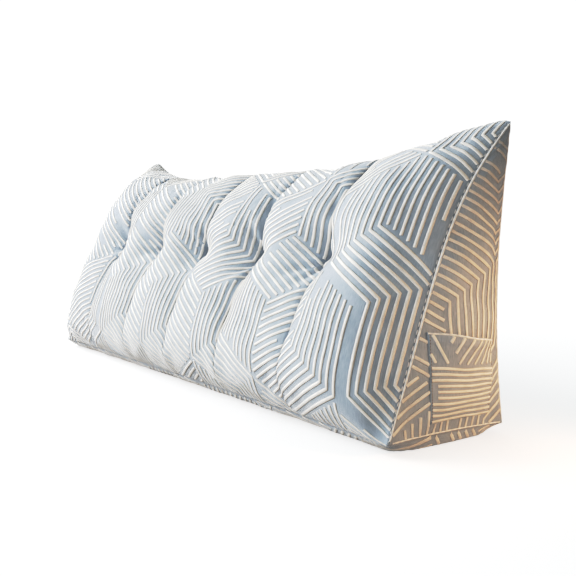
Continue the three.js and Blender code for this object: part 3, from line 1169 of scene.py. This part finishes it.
def yarn_group():
    """Tubes with a flattened section along flat lines, laid on the cloth."""
    group, tree, given = geometry_group("ribs_on_cloth", {
        "Width": "Float", "Thickness": "Float", "Stand": "Float",
        "Sides": "Int", "Uneven": "Float", "Taper": "Float",
    })
    lines = tree.add("GeometryNodeMeshToCurve", {}, {"Mesh": given["Geometry"]})
    lines = tree.add("GeometryNodeSetCurveNormal", {"mode": "Z_UP"}, {"Curve": lines})
    share = tree.add("GeometryNodeSplineParameter")
    bulge = tree.add("ShaderNodeTexNoise", {}, {"Scale": BULGE_SCALE, "Detail": 1.0}) - 0.5
    radius = 1 + bulge * given["Uneven"] - given["Taper"] * abs(share * 2 - 1) ** 5
    lines = tree.add("GeometryNodeSetCurveRadius", {}, {"Curve": lines, "Radius": radius})
    lines = kept_value(tree, lines, "run", share.other("Length"))
    sockets = {"Resolution": given["Sides"], "Radius": 0.5}
    section = tree.add("GeometryNodeCurvePrimitiveCircle", {}, sockets)
    aside = tree.part(tree.add("GeometryNodeInputPosition"), "X") * 2
    section = kept_value(tree, section, "side", aside)
    size = tree.add("ShaderNodeCombineXYZ", {}, {"X": given["Width"], "Y": given["Thickness"], "Z": 1.0})
    raised = tree.add("ShaderNodeCombineXYZ", {}, {"Y": given["Stand"]})
    sockets = {"Geometry": section, "Translation": raised, "Scale": size}
    section = tree.add("GeometryNodeTransform", {}, sockets)
    sockets = {"Curve": lines, "Profile Curve": section, "Fill Caps": True}
    lay_on_cloth(tree, tree.add("GeometryNodeCurveToMesh", {}, sockets), given)
    return group


def on_cloth(name, lines, group, **values):
    """A piece that a node group grows along flat lines."""
    points, edges = [], []
    for line in lines:
        first = len(points)
        points += [(p.real, p.imag, 0) for p in line]
        edges += [(i, i + 1) for i in range(first, first + len(line) - 1)]
    mesh = bpy.data.meshes.new(name)
    mesh.from_pydata(points, edges, [])
    grown(name, mesh, group, **values)


RIB_HEIGHT = 0.0011
RIB_SECTION = {"thickness": 2 * RIB_HEIGHT / math.sin(math.pi / 3), "sides": 6, "uneven": 0.35}
RIB_YARN = new_material("rib_yarn", yarn, sheen=0.25, shine=0.2)
YARN_GROUP = yarn_group()
# Each piece's ribs a patch, and the panels that it covers, each with its turn and its seed
PANEL_RIBS = {
    "front_ribs": (9, [("front", math.pi / 6, 3)]),
    "back_ribs": (10, [("back", math.pi / 6, 5)]),
    "base_ribs": (10, [("base", math.pi / 12, 7)]),
    "end_ribs": (8, [("right", math.pi / 6, 11), ("left", math.pi / 6, 13)]),
}
for name, (ribs_a_patch, sources) in PANEL_RIBS.items():
    lines = []
    for panel, turn, seed in sources:
        lines += panel_ribs(panel, turn, ribs_a_patch, seed)
    on_cloth(name, lines, YARN_GROUP, cloth=cushion, material=RIB_YARN, width=RIB_WIDTH, **RIB_SECTION)

# The pocket's own ribs: level rows below, and slanting ones under its hem
POCKET_RIB_WIDTH = 0.0052
POCKET_RIB_INSET = 0.0030
POCKET_ROWS = 10
POCKET_ROW_PITCH = 0.0087
POCKET_ROW_WAVE = 0.0007
POCKET_ROW_WAVE_PITCH = 0.075
POCKET_SHORT_ROWS = (4, 5, 6)
POCKET_SLANT = math.radians(61)
POCKET_SLANT_PITCH = 0.0157
POCKET_SLANT_FOOT = 0.028
pocket_corner = complex(*OUTSIDE_CUT)


def pocket_rib_lines():
    steps = np.linspace(POCKET_RIB_INSET, pocket_width - POCKET_RIB_INSET, 30)
    lines = []
    for row in range(POCKET_ROWS):
        level = POCKET_RIB_INSET + row * POCKET_ROW_PITCH
        wavy = level + POCKET_ROW_WAVE * ripple(steps, POCKET_ROW_WAVE_PITCH, row * 0.4)
        lines.append(list(pocket_corner + steps + 1j * wavy)[2 if row in POCKET_SHORT_ROWS else 0:])
    bottom = POCKET_RIB_INSET + POCKET_ROWS * POCKET_ROW_PITCH
    top = pocket_height - POCKET_RIB_INSET
    lean = (top - bottom) / math.tan(POCKET_SLANT)
    box = inset(outline_of(pocket_cut), POCKET_RIB_INSET * 0.8)
    box = np.array([complex(x, min(y, top)) for x, y in zip(box.real, box.imag)])
    # Two lean to the front from the first foot, the others to the back
    leaning = [(POCKET_SLANT_FOOT - i * 1.2 * POCKET_SLANT_PITCH, -lean) for i in range(2)]
    leaning += [(POCKET_SLANT_FOOT + (i + 0.2) * POCKET_SLANT_PITCH, lean) for i in range(-1, 7)]
    for foot, offset in leaning:
        slant = [foot + 1j * bottom, foot + offset + 1j * top]
        meeting = POCKET_SLANT_FOOT + POCKET_SLANT_PITCH - foot
        if offset > 0 and meeting > 0:
            slant[0] = blend(*slant, unit((meeting + POCKET_RIB_WIDTH) / (2 * lean)))
        for piece in trimmed(slant, box):
            if abs(piece[-1] - piece[0]) > POCKET_RIB_WIDTH:
                lines.append(stepped([pocket_corner + p for p in piece]))
    return lines


on_cloth(
    "pocket_ribs", pocket_rib_lines(), YARN_GROUP,
    cloth=pocket, material=RIB_YARN, width=POCKET_RIB_WIDTH, **RIB_SECTION,
)


# Seam rolls
# Where two panels are sewn together the seam allowance lies under one of them, and its
# cloth stands up beside the seam as a narrow rounded edge.
ROLL_WIDTH = 0.0030
ROLL_FROM_SEAM = 0.0014
ROLL_END_GAP = 0.006
ROLL_PALE = (0.86, 0.83, 0.78)
ROLL_BLUE = (0.60, 0.62, 0.64)
ROLL_FLUFF = 700.0
ROLL_PATCHES = 60.0


def beside_edge(name, axis, index, distance, end_gap):
    """A line in a panel's flat cut, beside one of its four edges."""
    line, within = flats[name].take(index, axis), flats[name].take(1 if index == 0 else -2, axis)
    inward = (within - line)[1:-1]
    spots = line[1:-1] + inward / np.linalg.norm(inward, axis=1, keepdims=True) * distance
    points = list(spots[:, 0] + 1j * spots[:, 1])
    return shortened(shortened(points, end_gap)[::-1], end_gap)


def folded_edge(tree):
    """Folded cloth edge: the pale ribs and the blue ground by turns."""
    place = tree.object_place()
    fluff = tree.noise(place, ROLL_FLUFF)
    patch = tree.noise(place, ROLL_PATCHES)
    pale = (tree.attribute("run") * (2 * math.pi / (2 * RIB_WIDTH)) + patch * 5).sine() * 0.5 + 0.5
    colour = tree.between(pale * 0.6 + fluff * 0.4, ROLL_BLUE, ROLL_PALE)
    bump = tree.bump(fluff, distance=0.0004)
    return {"Base Color": colour, "Roughness": 0.85 - patch * 0.25, "Normal": bump}


FOLDED_EDGE = new_material("folded_edge", folded_edge, sheen=0.3, shine=0.3)
ROLLED = {"material": FOLDED_EDGE, "sides": 8, "uneven": 0.3, "taper": 0.5}
rolled_seams = [(end, *edge) for end in ("right", "left") for edge in ((1, 0), (1, -1), (0, 0))]
rolled_seams += [("base", 1, -1), ("back", 1, -1)]
roll_lines = [beside_edge(*seam, ROLL_FROM_SEAM, ROLL_END_GAP) for seam in rolled_seams]
on_cloth(
    "seam_rolls", roll_lines, YARN_GROUP,
    cloth=cushion, width=ROLL_WIDTH, thickness=ROLL_WIDTH, stand=0.0004, **ROLLED,
)

# The pocket's mouth has a finer one
MOUTH_ROLL_FROM_TOP = 0.0016
MOUTH_ROLL_END_GAP = 0.001

mouth_level = pocket_corner + 1j * (pocket_height - MOUTH_ROLL_FROM_TOP)
mouth_line = mouth_level + np.linspace(MOUTH_ROLL_END_GAP, pocket_width - MOUTH_ROLL_END_GAP, 40)
on_cloth(
    "pocket_mouth_roll", [mouth_line], YARN_GROUP,
    cloth=pocket, width=0.0026, thickness=0.0026, stand=0.0002, **ROLLED,
)


# Stitches
# Strong off-white thread beside the end seams, on the front and the back panel and along
# the back edge of each end panel, one stitch after another with a gap between them. Fine
# brown thread goes down the pocket's sides and along its bottom.
STITCH_FROM_SEAM = 0.0013
STITCH_END_GAP = 0.020
THREAD_PALE = (0.78, 0.79, 0.79)
THREAD_DIM = (0.58, 0.60, 0.62)
THREAD_TWIST = 1600.0


def twisted(tree, dim, pale):
    """Twisted thread between two shades."""
    twist = tree.noise(tree.object_place(), THREAD_TWIST)
    colour = tree.between(twist, dim, pale)
    bump = tree.bump(twist, distance=0.0003)
    return {"Base Color": colour, "Roughness": 0.65 - twist * 0.3, "Normal": bump}


def stitch_group():
    """Stitches one after another along flat lines, laid on the cloth."""
    sizes = {"Pitch": "Float", "Length": "Float", "Thickness": "Float"}
    group, tree, given = geometry_group("stitches_on_cloth", sizes)
    lines = tree.add("GeometryNodeMeshToCurve", {}, {"Mesh": given["Geometry"]})
    sockets = {"Curve": lines, "Length": given["Pitch"]}
    spots = tree.add("GeometryNodeCurveToPoints", {"mode": "LENGTH"}, sockets)
    sockets = {"Vector": spots.other("Tangent")}
    turned = tree.add("FunctionNodeAlignRotationToVector", {"axis": "X"}, sockets)
    bead = tree.add("GeometryNodeMeshUVSphere", {}, {"Segments": 8, "Rings": 6, "Radius": 0.5})
    sizes = {"X": given["Length"], "Y": given["Thickness"], "Z": given["Thickness"]}
    sockets = {"Geometry": bead, "Scale": tree.add("ShaderNodeCombineXYZ", {}, sizes)}
    bead = tree.add("GeometryNodeTransform", {}, sockets)
    sockets = {"Points": spots, "Instance": bead, "Rotation": turned}
    beads = tree.add("GeometryNodeInstanceOnPoints", {}, sockets)
    lay_on_cloth(tree, tree.add("GeometryNodeRealizeInstances", {}, {"Geometry": beads}), given)
    return group


STITCH_GROUP = stitch_group()
PALE_THREAD = new_material("pale_thread", twisted, THREAD_DIM, THREAD_PALE, sheen=0.1, shine=0.4)
stitch_lines = [
    beside_edge(panel, 0, index, STITCH_FROM_SEAM, STITCH_END_GAP)
    for panel in ("front", "back") for index in (0, -1)
]
stitch_lines += [
    beside_edge(end, 1, -1, STITCH_FROM_SEAM + ROLL_WIDTH, STITCH_END_GAP) for end in ("right", "left")
]
on_cloth(
    "seam_stitches", stitch_lines, STITCH_GROUP, cloth=cushion, material=PALE_THREAD,
    pitch=0.0108, length=0.0076, thickness=0.0019,
)

POCKET_STITCH_INSET = 0.0028
POCKET_STITCH_TOP = 0.98
THREAD_BROWN = (0.16, 0.12, 0.10)
THREAD_BROWN_PALE = (0.28, 0.22, 0.18)

BROWN_THREAD = new_material(
    "brown_thread", twisted, THREAD_BROWN, THREAD_BROWN_PALE, sheen=0.1, shine=0.4,
)
left, right = POCKET_STITCH_INSET, pocket_width - POCKET_STITCH_INSET
bottom, top = POCKET_STITCH_INSET, pocket_height * POCKET_STITCH_TOP
sewn_corners = [left + 1j * top, left + 1j * bottom, right + 1j * bottom, right + 1j * top]
on_cloth(
    "pocket_stitches", [stepped([pocket_corner + p for p in sewn_corners])], STITCH_GROUP,
    cloth=pocket, material=BROWN_THREAD, pitch=0.0042, length=0.0031, thickness=0.0009,
)


# Tufts
# At each tuft two strands of thick thread are drawn through the filling and hold the cloth
# down in the pit. No buttons cover them.
STRAND_LENGTH = 0.013
STRANDS_APART = 0.0024

strands = [
    complex(spot_u + side * STRANDS_APART, spot_v) + 1j * (np.linspace(-0.5, 0.5, 9) * STRAND_LENGTH)
    for spot_u, spot_v in tuft_spots for side in (-0.5, 0.5)
]
on_cloth(
    "tuft_strands", strands, YARN_GROUP, cloth=cushion, material=PALE_THREAD,
    width=0.0019, thickness=0.0019, stand=0.0004, sides=8, uneven=0.2, taper=0.8,
)


# Floor, light and camera
# A plain pale floor that fades to white, soft cool light from the left and a small warm
# lamp by the end with the pocket.
FLOOR_WHITE = (0.90, 0.90, 0.90)
FLOOR_ROUGH = 0.9
FLOOR_HALF = 12.0
FLOOR_BELOW = 0.0002
FLOOR_FADE = {"From Min": 0.45, "From Max": 2.0, "To Min": 0.55, "To Max": 1.0}
STUDIO_WHITE = (1.22, 1.22, 1.22)

floor_mesh = bpy.data.meshes.new("floor")
corners = [
    (x * FLOOR_HALF, y * FLOOR_HALF, -FLOOR_BELOW) for x, y in ((-1, -1), (1, -1), (1, 1), (-1, 1))
]
floor_mesh.from_pydata(corners, [], [range(4)])
floor = new_object("floor", floor_mesh)
floor.visible_diffuse = False
pale_floor = new_material("pale_floor", lambda tree: {}, sheen=0.0, shine=0.1)
tree = Tree(pale_floor.node_tree)
shader = tree.nodes["Principled BSDF"]
shader.inputs["Base Color"].default_value = (*FLOOR_WHITE, 1)
shader.inputs["Roughness"].default_value = FLOOR_ROUGH
distance = tree.vector("LENGTH", {0: tree.object_place()}, "Value")
fade = tree.add(
    "ShaderNodeMapRange", {"interpolation_type": "SMOOTHSTEP"}, {"Value": distance, **FLOOR_FADE},
)
white = tree.add("ShaderNodeEmission", {}, {"Color": (*STUDIO_WHITE, 1)})
lit = Wire(tree, shader.outputs["BSDF"])
faded = tree.add("ShaderNodeMixShader", {}, {0: fade, 1: lit, 2: white})
tree.links.new(faded.socket, tree.nodes["Material Output"].inputs["Surface"])
floor_mesh.materials.append(pale_floor)

# Soft light of the room: the direction that each part of it comes from, its colour, and
# how much of it the floor throws back up
ROOM = [
    ((-0.83, -0.56, 0.0), (2.62, 2.72, 2.78), 0.38),
    ((0.72, -0.69, 0.0), (0.175, 0.145, 0.12), 4.0),
    ((-0.40, 0.92, 0.0), (0.95, 0.95, 0.95), 0.0),
    ((0.0, 0.0, 1.0), (0.10, 0.14, 0.14), 0.0),
]
HORIZON = {"From Min": -0.3, "From Max": 0.12}

world = bpy.data.worlds.new("studio")
world.use_nodes = True
sky = Tree(world.node_tree)
direction = sky.add("ShaderNodeTexCoord", output="Generated")
tint = (0.0, 0.0, 0.0)
for towards, colour, thrown_back in ROOM:
    facing = sky.vector("DOT_PRODUCT", {0: direction, 1: towards}, "Value")
    limits = {"Value": sky.part(direction, "Z"), "To Min": thrown_back, **HORIZON}
    strength = facing.math("MAXIMUM", facing, 0.0) * sky.add("ShaderNodeMapRange", {}, limits)
    tint = sky.vector("ADD", {0: tint, 1: sky.vector("SCALE", {0: colour, "Scale": strength})})
soft = sky.add("ShaderNodeBackground", {}, {"Color": tint})
plain = sky.add("ShaderNodeBackground", {}, {"Color": (*STUDIO_WHITE, 1)})
seen = sky.add("ShaderNodeLightPath", output="Is Camera Ray")
backdrop = sky.add("ShaderNodeMixShader", {}, {0: seen, 1: soft, 2: plain})
sky.links.new(backdrop.socket, sky.nodes["World Output"].inputs["Surface"])
bpy.context.scene.world = world


def soft_light(name, place, target, size, spread, power, colour):
    """A square soft box at a place, turned towards a target."""
    light = bpy.data.lights.new(name, "AREA")
    light.size = size
    light.spread = math.radians(spread)
    light.energy = power
    light.color = colour
    lamp = new_object(name, light)
    lamp.location = place
    lamp.rotation_mode = "QUATERNION"
    lamp.rotation_quaternion = (lamp.location - Vector(target)).to_track_quat("Z", "Y")


soft_light(
    "window", place=(-1.8, -1.5, 1.5), target=(-0.1, 0, 0.2),
    size=1.6, spread=180, power=80, colour=(1.0, 0.99, 1.0),
)
soft_light(
    "lamp", place=(0.95, 0.24, 0.23), target=(0.62, 0.0, 0.10),
    size=0.16, spread=105, power=0.68, colour=(1.0, 0.66, 0.42),
)

VIEW_AZIMUTH = math.radians(53.5)
VIEW_ELEVATION = math.radians(1.9)
VIEW_ROLL = math.radians(0.7)
VIEW_DISTANCE = 1.489
VIEW_TARGET = np.array([0.199, 0.0, 0.2736]) + frame_shift
VIEW_FOCAL_PX = 780
VIEW_MIDDLE_PX = (287.5, 252.5)
IMAGE_PX = 576
SENSOR = 36.0

lens = bpy.data.cameras.new("camera")
lens.sensor_width = SENSOR
lens.lens = SENSOR * VIEW_FOCAL_PX / IMAGE_PX
lens.shift_x = (IMAGE_PX / 2 - VIEW_MIDDLE_PX[0]) / IMAGE_PX
lens.shift_y = (VIEW_MIDDLE_PX[1] - IMAGE_PX / 2) / IMAGE_PX
camera = new_object("camera", lens)
outward = Vector((
    math.sin(VIEW_AZIMUTH) * math.cos(VIEW_ELEVATION),
    -math.cos(VIEW_AZIMUTH) * math.cos(VIEW_ELEVATION),
    math.sin(VIEW_ELEVATION),
))
camera.location = Vector(VIEW_TARGET) + outward * VIEW_DISTANCE
camera.rotation_mode = "QUATERNION"
rolled = outward.to_track_quat("Z", "Y").to_matrix().to_4x4() @ Matrix.Rotation(VIEW_ROLL, 4, "Z")
camera.rotation_quaternion = rolled.to_quaternion()
bpy.context.scene.camera = camera

# The camera's tone curve: more contrast in the middle, less in the brightest parts. It
# changes the picture only, not the materials.
TONES = [(0.18, 0.125), (0.30, 0.262), (0.45, 0.49), (0.60, 0.655), (0.80, 0.785)]
BRIGHTEST = 0.905

view = bpy.context.scene.view_settings
view.view_transform = "Standard"
view.use_curve_mapping = True
view.curve_mapping.extend = "EXTRAPOLATED"
tones = view.curve_mapping.curves[3].points
tones[-1].location = (1.0, BRIGHTEST)
for dark, bright in TONES:
    tones.new(dark, bright)
view.curve_mapping.update()
